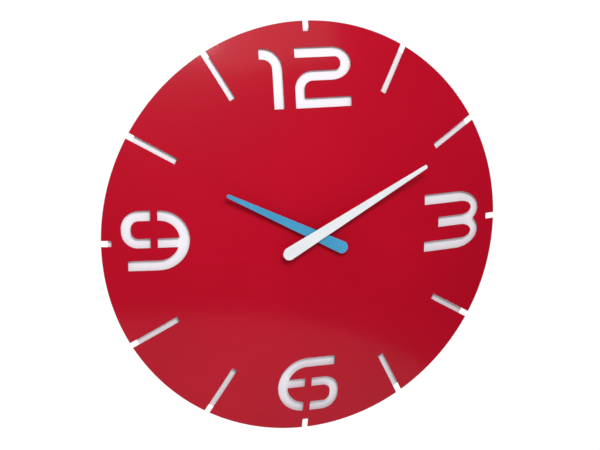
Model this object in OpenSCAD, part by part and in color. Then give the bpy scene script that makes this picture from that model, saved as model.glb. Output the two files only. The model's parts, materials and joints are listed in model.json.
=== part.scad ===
// Wall clock with a domed dial plate, cut-through numerals and a white backing disc.
// The clock hangs on a wall at y = 0 and faces -Y.  +Z is up and 12 o'clock is at the top.
// The origin is the middle of the keyhole's round entry, where the wall screw goes in.

/* [Dial plate] */
// Diameter of the dial plate
face_d = 350; // [292:1:420]
// How far the middle of the dial stands in front of its rim
rise = 22.2; // [18.5:0.1:26.7]
// Thickness of the dial plate's sheet steel
plate_t = 1; // [0.8:0.05:1.2]
// Distance from the wall to the front edge of the rim
rim_standoff = 4.5; // [3.7:0.1:6]
// Diameter of the hole in the middle of the dial plate
hub_hole_d = 9.2; // [8.6:0.1:11]

/* [Cut-outs] */
// Width of the hour slots
slot_w = 5.1; // [4.2:0.1:6.2]
// Length of the long hour slots
slot_len = 43.5; // [36:0.5:52]
// Length of the short notches outside the numerals
notch_len = 8.3; // [6.9:0.1:10]

/* [Numerals] */
// Height of the 3, the 6 and the 9
digit_h = 49.8; // [46:0.1:54]
// Width of the 6 and the 9
digit_w = 55; // [50:0.1:60]
// Stroke of the large arc and top bar of the 6 and the 9
stroke = 8.4; // [7:0.1:9.4]
// Stroke of the bowl of the 6 and the 9
bowl_stroke = 7.9; // [6.6:0.1:9]
// Height of the bowl of the 6 and the 9
bowl_h = 30.9; // [28:0.1:34]
// Outer corner radius of the bowl
bowl_r = 13.9; // [11.6:0.1:15]
// How far the open bar of the 6 and the 9 stops short of the bowl's edge
open_bar_gap = 5.25; // [3:0.05:9]
// Width of the bridges that hold the inside of the 6 and the 9
bridge_w = 5.5; // [4.6:0.1:6.6]
// Width of the 3
three_w = 54.6; // [50:0.1:60]
// Stroke of the 3
three_stroke = 8.8; // [7.4:0.1:9.6]
// How much shorter the middle bar of the 3 is
three_mid_short = 13.8; // [8:0.1:20]
// Height of the 12
twelve_h = 48.95; // [46:0.05:54]
// Stroke of the 2
two_stroke = 8.1; // [6.8:0.1:9]
// Width of the 2
two_w = 50.3; // [46:0.1:54]
// Stroke of the 1
one_stroke = 8.6; // [7.2:0.1:9.4]
// Gap between the 1 and the 2
one_two_gap = 10; // [8:0.1:13]
// Distance from the rim to the middle of the 12
twelve_inset = 45.95; // [42:0.05:52]
// Distance from the rim to the middle of the 3
three_inset = 44.3; // [42:0.1:52]
// Distance from the rim to the middle of the 6
six_inset = 41; // [39:0.1:50]
// Distance from the rim to the middle of the 9
nine_inset = 43.25; // [41:0.05:52]

/* [Backing disc] */
// How far the backing disc's edge lies inside the rim
back_inset = 6.2; // [5.2:0.1:7.4]
// Thickness of the backing disc
back_t = 1; // [0.8:0.05:1.2]
// Gap between the dial plate and the backing disc
back_gap = 2.6; // [2.5:0.05:3.1]

/* [Fixing studs] */
// Diameter of the weld studs
stud_d = 3; // [2.5:0.1:3.6]
// Distance from the rim to the outer studs
outer_stud_inset = 35; // [30:0.5:38]
// Outer diameter of the sleeves between dial plate and backing disc
sleeve_d = 7; // [6:0.1:8.4]
// Outer diameter of the rubber seats behind the backing disc
seat_d = 8.5; // [7.2:0.1:10]
// Thickness of a rubber seat at its thinnest place
seat_t = 0.6; // [0.5:0.05:0.8]
// Width across the flats of the stud nuts
nut_af = 5.5; // [5:0.1:6.6]
// Thickness of the stud nuts
nut_t = 2.4; // [2:0.1:2.8]
// How far a stud stands out of its nut
stud_proud = 0.6; // [0.4:0.1:1]

/* [Hanger] */
// Distance from the rim to the hanging point
hang_inset = 97; // [90:0.5:110]
// Thickness of the hanger's sheet steel
hanger_t = 1.2; // [1:0.05:1.5]
// Height of the keyhole plate and its legs
hanger_h = 25; // [23:0.5:30]
// Width of the keyhole plate
hanger_w = 34; // [29:0.5:38]
// Distance between the two studs of the hanger
hanger_stud_gap = 56; // [54:0.5:66]
// Diameter of the keyhole's entry
key_d = 9; // [7.5:0.1:10.8]
// Width of the keyhole's slot
key_slot_w = 4.6; // [3.9:0.1:5.5]
// Travel of the screw in the keyhole
key_travel = 9; // [7.5:0.1:10.5]

/* [Wall feet] */
// Diameter of the rubber feet
foot_d = 16; // [13.5:0.1:19]
// Distance between the feet
foot_gap = 120; // [100:1:140]
// Distance from the rim to the feet, straight down
foot_inset = 100; // [92:0.5:104]

/* [Movement] */
// Side of the square movement case
case_w = 56; // [56:0.1:64]
// Wall of the movement case
case_wall = 1.2; // [1:0.05:1.5]
// Corner radius of the movement case
case_r = 3; // [2.5:0.1:3.6]
// Diameter of the threaded bush
bush_d = 8; // [7.4:0.1:8.2]
// Length of the threaded bush in front of the case
bush_len = 6; // [5.6:0.1:6.2]
// Running clearance between two pieces that turn on each other, on the radius
run_c = 0.06; // [0.03:0.01:0.08]
// Thickness of the rubber gasket in front of the case
gasket_t = 1.6; // [1.4:0.05:1.9]
// Diameter of the rubber gasket
gasket_d = 24; // [20:0.5:28.8]
// Width across the flats of the bush nut
bush_nut_af = 12; // [11:0.1:14.4]
// Thickness of the bush nut
bush_nut_t = 2; // [1.7:0.05:2]
// Thickness of the washer under the bush nut
bush_washer_t = 0.3; // [0.2:0.05:0.4]

/* [Battery] */
// Diameter of the battery
battery_d = 14.2; // [14:0.1:14.5]
// Length of the battery with its button
battery_len = 50.5; // [49.5:0.1:50.5]
// Room around the battery
battery_c = 0.3; // [0.3:0.05:0.4]

/* [Hands] */
// Length of the minute hand in front of its axis
minute_len = 111.5; // [95:0.5:125]
// Length of the minute hand's tail
minute_tail = 32.9; // [27.5:0.1:39.4]
// Width of the minute hand's tail
minute_tail_w = 10.8; // [9:0.1:12.9]
// Width of the minute hand's tip
minute_tip_w = 3.3; // [2.8:0.1:4]
// Length of the hour hand in front of its axis
hour_len = 86; // [72:0.5:100]
// Length of the hour hand's tail
hour_tail = 31.1; // [26:0.1:37.3]
// Width of the hour hand's tail
hour_tail_w = 10.3; // [8.6:0.1:12.3]
// Width of the hour hand's tip
hour_tip_w = 3.2; // [2.7:0.1:3.8]
// Thickness of the hands
hand_t = 0.8; // [0.7:0.05:1]
// Distance from the dial's middle to the front of the hour hand
hour_front = 5.2; // [4.5:0.1:6.2]
// Distance from the dial's middle to the front of the minute hand
minute_front = 8.3; // [7.8:0.1:10]
// Where the minute hand points, clockwise from 12
minute_angle = 61.6; // [0:0.1:360]
// Where the hour hand points, clockwise from 12
hour_angle = 296.75; // [0:0.1:360]

/* [Gear train] */
// Distance from the dial axis to the motion wheel and to the setting pinion beyond it
motion_dist = 9; // [8.7:0.1:9.2]
// Distance from the dial axis to the third wheel
third_dist = 10; // [9.8:0.1:10.4]
// Distance from the dial axis to the reduction wheel
reduction_dist = 10; // [9.8:0.1:10.3]
// Distance from the reduction wheel to the rotor
rotor_dist = 7.7; // [7.5:0.1:7.8]
// Thickness of the gear wheels
wheel_t = 0.6; // [0.5:0.05:0.7]
// Room between one wheel and the next one along the axis
wheel_gap = 0.7; // [0.6:0.05:0.75]
// Diameter of the rotor's magnet
magnet_d = 5; // [4.2:0.1:5.4]
// Thickness of the stator plate
stator_t = 1; // [0.8:0.05:1.1]

/* [Hidden] */
$fn = 64;

// The dome: both sheets are parts of spheres with one centre
face_r = face_d / 2;
dome_r = (face_r * face_r + rise * rise) / (2 * rise);
apex_y = -(rim_standoff + rise);
dome_y = apex_y + dome_r;
back_front_r = dome_r - plate_t - back_gap;
back_rear_r = back_front_r - back_t;
back_r = face_r - back_inset;
hang_h = face_r - hang_inset;
dome_fn = 720;

// Distances behind the dial's middle
plate_rear_y = apex_y + plate_t;
back_front_y = plate_rear_y + back_gap;
back_rear_y = back_front_y + back_t;
case_y = back_rear_y + gasket_t;

// Layers of the gear train, measured from the front of the case
hour_wheel_y = case_wall + 0.4;
hour_wheel_t = 1;
motion_y = hour_wheel_y + hour_wheel_t + 0.4;
motion_t = 0.9;
cannon_y = motion_y - 0.1;
cannon_t = motion_t + 0.2;
spring_t = 0.25;
spring_room = 0.9;
centre_y = cannon_y + cannon_t + spring_room;
layer = wheel_t + wheel_gap;
third_y = centre_y + layer + 0.2;
seconds_y = third_y + layer;
reduction_y = seconds_y + layer;
magnet_y = reduction_y + layer;
magnet_t = 2;
stator_y = magnet_y + (magnet_t - stator_t) / 2;
train_plate_y = magnet_y + magnet_t + 0.5;
train_plate_t = 1;
cover_room = 0.2;
train_depth = train_plate_y + train_plate_t + cover_room + case_wall;
bay_wall = 0.8;
bay_lip = 0.7;
battery_depth = bay_wall + battery_c + battery_d + bay_lip;
case_depth = max(train_depth, battery_depth);
cover_y = case_depth - case_wall;
pinion_over = 0.15;
arbor_r = 0.5;
pivot_r = 0.35;
pivot_len = 0.8;
end_play = 0.1;

// Places inside the case, across and up from the dial axis
inner_w = case_w - 2 * case_wall;
battery_z = -(case_w / 2 - case_wall - battery_c - 0.3 - battery_d / 2);
bay_top_z = battery_z + battery_d / 2 + battery_c + 0.3;
third_dir = 20;
reduction_dir = 160;
rotor_dir = 135;
setting_dir = 60;
motion_pos = [0, motion_dist];
third_pos = third_dist * [cos(third_dir), sin(third_dir)];
reduction_pos = reduction_dist * [cos(reduction_dir), sin(reduction_dir)];
rotor_pos = reduction_pos + rotor_dist * [cos(rotor_dir), sin(rotor_dir)];
setting_pos = motion_pos + motion_dist * [cos(setting_dir), sin(setting_dir)];

// Numbers of teeth
rotor_teeth = 10;
reduction_teeth = 60;
reduction_pinion_teeth = 10;
seconds_teeth = 50;
seconds_pinion_teeth = 8;
third_teeth = 60;
third_pinion_teeth = 8;
centre_teeth = 64;
cannon_teeth = 12;
motion_teeth = 36;
motion_pinion_teeth = 10;
hour_teeth = 40;
setting_teeth = 12;

// Tooth sizes that follow from the centre distances
rotor_m = 2 * rotor_dist / (rotor_teeth + reduction_teeth);
seconds_m = 2 * reduction_dist / (reduction_pinion_teeth + seconds_teeth);
third_m = 2 * third_dist / (seconds_pinion_teeth + third_teeth);
centre_m = 2 * third_dist / (third_pinion_teeth + centre_teeth);
motion_m = 2 * motion_dist / (cannon_teeth + motion_teeth);
hour_m = 2 * motion_dist / (motion_pinion_teeth + hour_teeth);

// Angle of a tooth on each wheel, so that every pair is in mesh
function mesh(phase, teeth, next_teeth, dir) =
    dir + 180 - 360 / next_teeth * (0.5 - (dir - phase) * teeth / 360);
motion_phase = mesh(0, cannon_teeth, motion_teeth, 90);
hour_phase = mesh(0, motion_pinion_teeth, hour_teeth, 270);
setting_phase = mesh(motion_phase, motion_teeth, setting_teeth, setting_dir);
third_phase = mesh(0, seconds_pinion_teeth, third_teeth, third_dir);
centre_phase = mesh(0, third_pinion_teeth, centre_teeth, third_dir + 180);
reduction_pinion_phase = mesh(0, seconds_teeth, reduction_pinion_teeth, reduction_dir);
rotor_phase = mesh(0, reduction_teeth, rotor_teeth, rotor_dir);

// Turning pieces on the dial axis
minute_r = 1.6;
minute_rear_r = 1.2;
seconds_pivot_r = 0.4;
hour_tube_r = 2.5;
hour_tip_y = apex_y - hour_front;
minute_tip_y = apex_y - minute_front;

// Fixing points on the back of the dial plate, across and up from the dial axis
outer_stud_r = face_r - outer_stud_inset;
outer_spots = [for (a = [45 : 90 : 315]) outer_stud_r * [sin(a), cos(a)]];
hanger_spots = [for (s = [-1, 1]) [s * hanger_stud_gap / 2, hang_h]];
foot_spots = [for (s = [-1, 1]) [s * foot_gap / 2, foot_inset - face_r]];
all_spots = concat(outer_spots, hanger_spots, foot_spots);

// Depth of a sphere's surface at a distance out from the axis
function dome_at(ball_r, out) = dome_y - sqrt(ball_r * ball_r - out * out);
// Flat rear end of the rubber seat at a fixing point
function seat_rear(spot) = dome_at(back_rear_r, norm(spot) + seat_d / 2) + seat_t;

// The legs clear the domed backing disc at their outermost corner
hanger_low = -key_d / 2 - 5;
hanger_high = hanger_h + hanger_low;
flange_out = hanger_stud_gap / 2 + nut_af;
hanger_front_y = dome_at(back_rear_r, norm([flange_out, hang_h + hanger_high])) + 0.3;

// The circuit board and the strips that lead to it from the battery
board_x0 = 8;
board_x1 = 25.4;
board_z0 = 13.2;
board_z1 = 26;
board_t = 0.7;
board_y = train_plate_y - 0.1 - board_t;
contact_t = 0.3;
contact_w = 3;
contact_y = board_y - contact_w;
contact_x = inner_w / 2 - 0.1 - contact_t;
battery_y = bay_wall + battery_c + battery_d / 2;
battery_x = contact_x - battery_len;

// Where the coil lies, above the rotor
coil_z = 21.5;
coil_x0 = -24.5;
coil_x1 = -3.3;
core_w = 2.2;
pad_w = 3.2;
flange_w = 5.6;
flange_t = 0.8;
tube_t = 0.4;

// A flat outline in the plane of the wall, from y to y + t
module slab(y, t) {
    translate([0, y + t, 0])
        rotate([90, 0, 0])
            linear_extrude(t)
                children();
}

// A round bar along the dial axis direction, from y to y + len
module bar(y, len, r, spot = [0, 0]) {
    translate([spot[0], y, spot[1]])
        rotate([-90, 0, 0])
            cylinder(h = len, r = r);
}

// Everything that is placed from the dial axis
module from_axis() {
    translate([0, 0, -hang_h])
        children();
}

module ball(r) {
    translate([0, dome_y, 0])
        sphere(r = r, $fn = dome_fn);
}

// A domed sheet: the cap of a sphere, out to a given radius
module dome_sheet(front_r, t, out) {
    difference() {
        intersection() {
            ball(front_r);
            translate([0, apex_y - 5, 0])
                rotate([-90, 0, 0])
                    cylinder(h = 5 - apex_y, r = out, $fn = dome_fn);
        }
        ball(front_r - t);
    }
}

module box2d(x0, z0, x1, z1) {
    translate([x0, z0])
        square([x1 - x0, z1 - z0]);
}

module ellipse2d(a, b) {
    polygon([for (i = [0 : 5 : 355]) [a * cos(i), b * sin(i)]]);
}

// A quarter of a flat ring; sx and sz say which quarter
module quarter_ring(outer, inner, sx, sz) {
    intersection() {
        difference() {
            circle(r = outer);
            circle(r = inner);
        }
        translate([sx > 0 ? 0 : -outer, sz > 0 ? 0 : -outer])
            square(outer);
    }
}

module rounded2d(w, h, r) {
    square([w - 2 * r, h], center = true);
    square([w, h - 2 * r], center = true);
    for (sx = [-1, 1], sz = [-1, 1])
        translate([sx * (w / 2 - r), sz * (h / 2 - r)])
            circle(r = r);
}

// The 6, about its own middle; bridge_x is where its bridges stand
module six2d(bridge_x) {
    arc_r = digit_h / 2;
    arc_x = arc_r - digit_w / 2;
    bowl_top = bowl_h - arc_r;
    end_x = digit_w / 2 - bowl_r;
    bowl_in = bowl_r - bowl_stroke;
    difference() {
        union() {
            translate([arc_x, 0])
                quarter_ring(arc_r, arc_r - stroke, -1, 1);
            translate([arc_x, 0])
                quarter_ring(arc_r, arc_r - stroke, -1, -1);
            box2d(arc_x, arc_r - stroke, digit_w / 2 - open_bar_gap, arc_r);
            box2d(stroke / 2 - digit_w / 2, bowl_top - bowl_stroke, end_x, bowl_top);
            box2d(arc_x, -arc_r, end_x, bowl_stroke - arc_r);
            translate([end_x, bowl_top - bowl_r])
                quarter_ring(bowl_r, bowl_in, 1, 1);
            translate([end_x, bowl_r - arc_r])
                quarter_ring(bowl_r, bowl_in, 1, -1);
            box2d(end_x + bowl_in, bowl_r - arc_r, digit_w / 2, bowl_top - bowl_r);
        }
        box2d(bridge_x - bridge_w / 2, -arc_r - 1, bridge_x + bridge_w / 2, bowl_top + 1);
    }
}

// The 3, about its own middle
module three2d() {
    top = digit_h / 2;
    left = -three_w / 2;
    lobe_a = 22;
    lobe_b = 15.2;
    lobe_x = three_w / 2 - lobe_a;
    tip_stroke = 7.45;
    void_a = 10.2;
    void_b = (top - 1.5 * three_stroke) / 2;
    void_x = three_w / 2 - tip_stroke - void_a;
    void_z = three_stroke / 2 + void_b;
    difference() {
        union() {
            box2d(left, -top, lobe_x, top);
            for (s = [-1, 1])
                translate([lobe_x, s * (top - lobe_b)])
                    ellipse2d(lobe_a, lobe_b);
        }
        for (s = [-1, 1])
            translate([void_x, s * void_z])
                ellipse2d(void_a, void_b);
        for (s = [-1, 1])
            translate([(left - 1 + void_x) / 2, s * void_z])
                square([void_x - left + 1, 2 * void_b], center = true);
        box2d(left - 1, -void_z, left + three_mid_short, void_z);
    }
}

// The 1, its stem's right edge at x = 0, about its middle height
module one2d() {
    top = twelve_h / 2;
    curl_r = 16.55;
    flag_len = 2.75;
    translate([-curl_r, top - curl_r])
        quarter_ring(curl_r, curl_r - one_stroke, 1, 1);
    box2d(-curl_r - flag_len, top - one_stroke, -curl_r, top);
    box2d(-one_stroke, -top, 0, top - curl_r);
}

// The 2, its stem's left edge at x = 0, about its middle height
module two2d() {
    top = twelve_h / 2;
    lobe_b = 13.45;
    lobe_a = 17.45;
    lobe_x = two_w - lobe_a;
    mid_top = top - 2 * lobe_b + two_stroke;
    turn_r = 15.45;
    void_a = 4.6;
    void_x = two_w - 9.4 - void_a;
    bar_start = 1.05;
    base_short = 1.05;
    difference() {
        union() {
            box2d(bar_start, top - two_stroke, lobe_x, top);
            translate([lobe_x, top - lobe_b])
                intersection() {
                    ellipse2d(lobe_a, lobe_b);
                    box2d(0, -lobe_b, lobe_a, lobe_b);
                }
            box2d(turn_r, mid_top - two_stroke, lobe_x, mid_top);
        }
        translate([void_x, top - lobe_b])
            ellipse2d(void_a, lobe_b - two_stroke);
        box2d(turn_r, mid_top, void_x, top - two_stroke);
    }
    translate([turn_r, mid_top - turn_r])
        quarter_ring(turn_r, turn_r - two_stroke, -1, 1);
    box2d(0, -top, two_stroke, mid_top - turn_r);
    box2d(0, -top, two_w - base_short, two_stroke - top);
}

// All the openings in the dial plate, across and up from the dial axis
module openings2d() {
    six_x = 0.5;
    six_bridge = -0.5;
    nine_bridge = 1.3;
    nine_up = 1.65;
    two_left = -12.65;
    for (h = [0 : 11])
        rotate(-30 * h)
            box2d(-slot_w / 2, face_r - (h % 3 == 0 ? notch_len : slot_len), slot_w / 2, face_r + 5);
    translate([six_x, six_inset - face_r])
        six2d(six_bridge);
    translate([nine_inset - face_r, nine_up])
        rotate(180)
            six2d(nine_bridge);
    translate([face_r - three_inset, 0])
        three2d();
    translate([two_left, face_r - twelve_inset])
        two2d();
    translate([two_left - one_two_gap, face_r - twelve_inset])
        one2d();
    circle(d = hub_hole_d);
}

// A toothed outline with straight flanks and room between the teeth
module gear2d(teeth, m, phase) {
    pitch = 360 / teeth;
    root_r = m * (teeth / 2 - 1.15);
    tip_r = m * (teeth / 2 + 0.8);
    polygon([for (i = [0 : teeth - 1], c = [[-0.27, 0], [-0.11, 1], [0.11, 1], [0.27, 0]])
        let (r = c[1] == 1 ? tip_r : root_r, a = phase + (i + c[0]) * pitch)
        [r * cos(a), r * sin(a)]]);
}

// A gear in the movement: y from the front of the case, spot across and up from the dial axis
module gear(teeth, m, phase, y, t, spot = [0, 0]) {
    translate([spot[0], 0, spot[1]])
        slab(case_y + y, t)
            gear2d(teeth, m, phase);
}

// An arbor between the case's front boss and the train plate
module arbor(spot) {
    front = case_wall + end_play;
    bar(case_y + front, train_plate_y - end_play - front, arbor_r, spot);
    bar(case_y + front - pivot_len, train_plate_y + 2 * pivot_len - front, pivot_r, spot);
}

// A hand's outline: two round ends joined by their tangents, pointing clockwise from 12
module hand2d(len, tail, tip_w, tail_w, angle) {
    tip_r = tip_w / 2;
    tail_r = tail_w / 2;
    tip_z = len - tip_r;
    tail_z = tail_r - tail;
    lean = (tail_r - tip_r) / (tip_z - tail_z);
    side = sqrt(1 - lean * lean);
    rotate(-angle) {
        translate([0, tip_z])
            circle(r = tip_r);
        translate([0, tail_z])
            circle(r = tail_r);
        polygon([[-tail_r * side, tail_z + tail_r * lean], [tail_r * side, tail_z + tail_r * lean],
            [tip_r * side, tip_z + tip_r * lean], [-tip_r * side, tip_z + tip_r * lean]]);
    }
}

module dial_plate() {
    color([0.72, 0.04, 0.12])
        from_axis()
            difference() {
                dome_sheet(dome_r, plate_t, face_r);
                slab(apex_y - 2, 2 - apex_y)
                    openings2d();
            }
}

// A bar behind a fixing point: its front end leans with the sheet it meets, its rear end is flat
module leaning_bar(spot, reach, rear_y, r) {
    lean = asin(norm(spot) / reach);
    front_y = dome_at(reach, norm(spot));
    intersection() {
        bar(front_y - 5, rear_y - front_y + 5, r, spot);
        translate([0, dome_y, 0])
            rotate([0, -atan2(spot[1], spot[0]), 0])
                rotate([0, 0, lean])
                    translate([-20, -reach, -20])
                        cube(40);
    }
}

// How far in from a ball's surface a flat end of radius r lies, so that only its edge touches
function flat_in(ball_r, r, spot) =
    sqrt(ball_r * ball_r - pow(r / cos(asin(norm(spot) / ball_r)), 2));

// Studs welded to the back of the dial plate, each ending behind what it holds
module plate_studs() {
    grip = nut_t + stud_proud;
    r = stud_d / 2;
    color("silver")
        from_axis() {
            for (spot = concat(outer_spots, foot_spots))
                leaning_bar(spot, flat_in(dome_r - plate_t, r, spot), seat_rear(spot) + grip, r);
            for (spot = hanger_spots)
                leaning_bar(spot, flat_in(dome_r - plate_t, r, spot),
                    hanger_front_y + hanger_t + grip, r);
        }
}

// Rubber sleeves on the studs keep the two sheets apart
module stud_sleeves() {
    r = sleeve_d / 2;
    color([0.15, 0.15, 0.16])
        from_axis()
            for (spot = all_spots)
                difference() {
                    leaning_bar(spot, flat_in(dome_r - plate_t, r, spot), apex_y + 30, r);
                    leaning_bar(spot, back_front_r, apex_y + 31, r + 1);
                    bar(apex_y - 1, 1 - apex_y, stud_d / 2, spot);
                }
}

module backing_disc() {
    color([0.93, 0.94, 0.96])
        from_axis()
            difference() {
                dome_sheet(back_front_r, back_t, back_r);
                bar(apex_y, -apex_y, bush_d / 2 + 0.2);
                for (spot = all_spots)
                    bar(apex_y, -apex_y, stud_d / 2, spot);
            }
}

module seat(spot, rear_y) {
    r = seat_d / 2;
    difference() {
        leaning_bar(spot, flat_in(back_rear_r, r, spot), rear_y, r);
        bar(apex_y - 1, 1 - apex_y, stud_d / 2, spot);
    }
}

module stud_seats() {
    color([0.12, 0.12, 0.13])
        from_axis() {
            for (spot = concat(outer_spots, foot_spots))
                seat(spot, seat_rear(spot));
            for (spot = hanger_spots)
                seat(spot, hanger_front_y);
        }
}

module stud_nut(spot, y) {
    translate([spot[0], y, spot[1]])
        rotate([-90, 0, 0])
            difference() {
                cylinder(h = nut_t, d = nut_af / cos(30), $fn = 6);
                translate([0, 0, -1])
                    cylinder(h = nut_t + 2, r = stud_d / 2);
            }
}

module stud_nuts() {
    color("silver")
        from_axis() {
            for (spot = outer_spots)
                stud_nut(spot, seat_rear(spot));
            for (spot = hanger_spots)
                stud_nut(spot, hanger_front_y + hanger_t);
        }
}

// The keyhole plate, flat against the wall, welded on its two legs
module hanger_plate() {
    half = hanger_w / 2;
    color([0.75, 0.76, 0.78])
        difference() {
            slab(-hanger_t, hanger_t)
                box2d(-half, hanger_low, half, hanger_high);
            slab(-hanger_t - 1, hanger_t + 2) {
                circle(d = key_d);
                translate([0, key_travel])
                    circle(d = key_slot_w);
                box2d(-key_slot_w / 2, 0, key_slot_w / 2, key_travel);
            }
        }
}

// Two bent legs, each with a foot on its stud and a web that stands on the keyhole plate
module hanger_legs() {
    half = hanger_w / 2;
    mid_z = (hanger_low + hanger_high) / 2;
    color([0.75, 0.76, 0.78])
        difference() {
            for (s = [-1, 1]) {
                slab(hanger_front_y, hanger_t)
                    translate([s * (half + flange_out - hanger_t) / 2, mid_z])
                        square([flange_out - half + hanger_t, hanger_h], center = true);
                slab(hanger_front_y, -hanger_front_y - hanger_t)
                    translate([s * (half - hanger_t / 2), mid_z])
                        square([hanger_t, hanger_h], center = true);
            }
            for (spot = hanger_spots)
                bar(hanger_front_y - 1, hanger_t + 2, stud_d / 2, spot - [0, hang_h]);
        }
}

// Rubber feet, screwed on the lowest two studs, that keep the clock parallel to the wall
module wall_feet() {
    grip = nut_t + stud_proud;
    color([0.1, 0.1, 0.1])
        from_axis()
            for (spot = foot_spots)
                difference() {
                    bar(seat_rear(spot), -seat_rear(spot), foot_d / 2, spot);
                    bar(seat_rear(spot) - 1, grip + 1, stud_d / 2, spot);
                }
}

module bush_nut() {
    color([0.78, 0.62, 0.3])
        from_axis()
            translate([0, back_front_y - bush_washer_t - bush_nut_t, 0])
                rotate([-90, 0, 0])
                    difference() {
                        cylinder(h = bush_nut_t, d = bush_nut_af / cos(30), $fn = 6);
                        translate([0, 0, -1])
                            cylinder(h = bush_nut_t + 2, r = bush_d / 2);
                    }
}

module bush_washer() {
    color([0.8, 0.65, 0.35])
        from_axis()
            difference() {
                bar(back_front_y - bush_washer_t, bush_washer_t, bush_nut_af / 2 + 1);
                bar(back_front_y - bush_washer_t - 1, bush_washer_t + 2, bush_d / 2 + 0.1);
            }
}

module case_gasket() {
    color([0.14, 0.14, 0.14])
        from_axis()
            difference() {
                bar(dome_at(back_rear_r, gasket_d / 2),
                    case_y - dome_at(back_rear_r, gasket_d / 2), gasket_d / 2);
                bar(back_rear_y - 2, gasket_t + 4, bush_d / 2 + 0.2);
            }
}

// The front half of the movement case, with the bush, the battery bay and the front bearings
module movement_case() {
    notch_w = 1.4;
    color([0.09, 0.09, 0.1])
        from_axis() {
            difference() {
                union() {
                    slab(case_y, case_depth)
                        rounded2d(case_w, case_w, case_r);
                    bar(case_y - bush_len, bush_len, bush_d / 2);
                }
                slab(case_y + case_wall, case_depth)
                    box2d(-inner_w / 2, bay_top_z + case_wall, inner_w / 2, inner_w / 2);
                slab(case_y + bay_wall, case_depth)
                    box2d(-inner_w / 2, -inner_w / 2, inner_w / 2, bay_top_z);
                slab(case_y + contact_y - 0.3, case_depth)
                    for (s = [-1, 1])
                        translate([s * (inner_w / 2 - notch_w / 2), bay_top_z + case_wall / 2])
                            square([notch_w, case_wall + 2], center = true);
                bar(case_y - bush_len - 1, bush_len + case_wall + 2, hour_tube_r + run_c);
                for (spot = [third_pos, reduction_pos, rotor_pos, setting_pos])
                    bar(case_y + case_wall - pivot_len, pivot_len + 1, pivot_r + run_c, spot);
            }
            bar(case_y + case_wall, cannon_y + cannon_t - case_wall, 0.8, motion_pos);
        }
}

// The rear cover over the gear train; the battery bay stays open
module movement_cover() {
    fit = 0.15;
    low = bay_top_z + case_wall;
    color([0.11, 0.11, 0.12])
        from_axis()
            difference() {
                slab(case_y + cover_y, case_wall)
                    box2d(-inner_w / 2 + fit, low + fit, inner_w / 2 - fit, inner_w / 2 - fit);
                bar(case_y + cover_y - 1, case_wall + 2, 5, setting_pos);
            }
}

// The plate that carries the rear bearings
module train_plate() {
    fit = 0.1;
    low = bay_top_z + case_wall;
    color([0.85, 0.83, 0.75])
        from_axis()
            difference() {
                slab(case_y + train_plate_y, train_plate_t)
                    box2d(-inner_w / 2 + fit, low + fit, inner_w / 2 - fit, inner_w / 2 - fit);
                for (spot = [[0, 0], third_pos, reduction_pos, rotor_pos])
                    bar(case_y + train_plate_y - 1, train_plate_t + 2, pivot_r + run_c, spot);
                bar(case_y + train_plate_y - 1, train_plate_t + 2, 1.2 + run_c, setting_pos);
                slab(case_y + train_plate_y - 1, train_plate_t + 2)
                    translate([(coil_x0 + coil_x1) / 2, coil_z])
                        square([coil_x1 - coil_x0 - pad_w + 1, flange_w + 1], center = true);
            }
}

module stator() {
    arm_w = 3.2;
    low = rotor_pos[1] - 3.6;
    high = rotor_pos[1] + 3.8;
    left = coil_x0 - pad_w / 2;
    right = coil_x1 + pad_w / 2;
    color([0.6, 0.6, 0.62])
        from_axis()
            slab(case_y + stator_y, stator_t)
                difference() {
                    union() {
                        box2d(left, low, left + arm_w, coil_z - core_w / 2);
                        box2d(right - arm_w, low, right, coil_z - core_w / 2);
                        box2d(left, low, right, high);
                    }
                    translate(rotor_pos)
                        circle(d = magnet_d + 1.2);
                    for (s = [-1, 1])
                        translate(rotor_pos + [s * (magnet_d / 2 + 0.6), s * 0.8])
                            circle(r = 0.5);
                }
}

module coil_core() {
    color([0.5, 0.5, 0.52])
        from_axis()
            slab(case_y + stator_y, stator_t)
                box2d(coil_x0 - pad_w / 2, coil_z - core_w / 2, coil_x1 + pad_w / 2, coil_z + core_w / 2);
}

// Bobbin: a square tube on the core with a flange at each end
module coil_bobbin() {
    start = coil_x0 + pad_w / 2;
    end = coil_x1 - pad_w / 2;
    mid_y = case_y + stator_y + stator_t / 2;
    color([0.9, 0.88, 0.8])
        from_axis()
            difference() {
                union() {
                    translate([start, mid_y - stator_t / 2 - tube_t, coil_z - core_w / 2 - tube_t])
                        cube([end - start, stator_t + 2 * tube_t, core_w + 2 * tube_t]);
                    for (x = [start, end - flange_t])
                        translate([x, mid_y - flange_w / 2, coil_z - flange_w / 2])
                            cube([flange_t, flange_w, flange_w]);
                }
                translate([start - 1, mid_y - stator_t / 2, coil_z - core_w / 2])
                    cube([end - start + 2, stator_t, core_w]);
            }
}

module coil_winding() {
    start = coil_x0 + pad_w / 2 + flange_t;
    end = coil_x1 - pad_w / 2 - flange_t;
    mid_y = case_y + stator_y + stator_t / 2;
    color([0.72, 0.4, 0.18])
        from_axis()
            difference() {
                translate([start, mid_y, coil_z])
                    rotate([0, 90, 0])
                        cylinder(h = end - start, r = flange_w / 2 - 0.3);
                translate([start - 1, mid_y - stator_t / 2 - tube_t, coil_z - core_w / 2 - tube_t])
                    cube([end - start + 2, stator_t + 2 * tube_t, core_w + 2 * tube_t]);
            }
}

module rotor_magnet() {
    color([0.35, 0.35, 0.37])
        from_axis()
            difference() {
                bar(case_y + magnet_y, magnet_t, magnet_d / 2, rotor_pos);
                bar(case_y + magnet_y - 1, magnet_t + 2, arbor_r, rotor_pos);
            }
}

module rotor_pinion() {
    color([0.92, 0.92, 0.9])
        from_axis() {
            arbor(rotor_pos);
            gear(rotor_teeth, rotor_m, rotor_phase, reduction_y - pinion_over,
                magnet_y - reduction_y + pinion_over, rotor_pos);
        }
}

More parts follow.
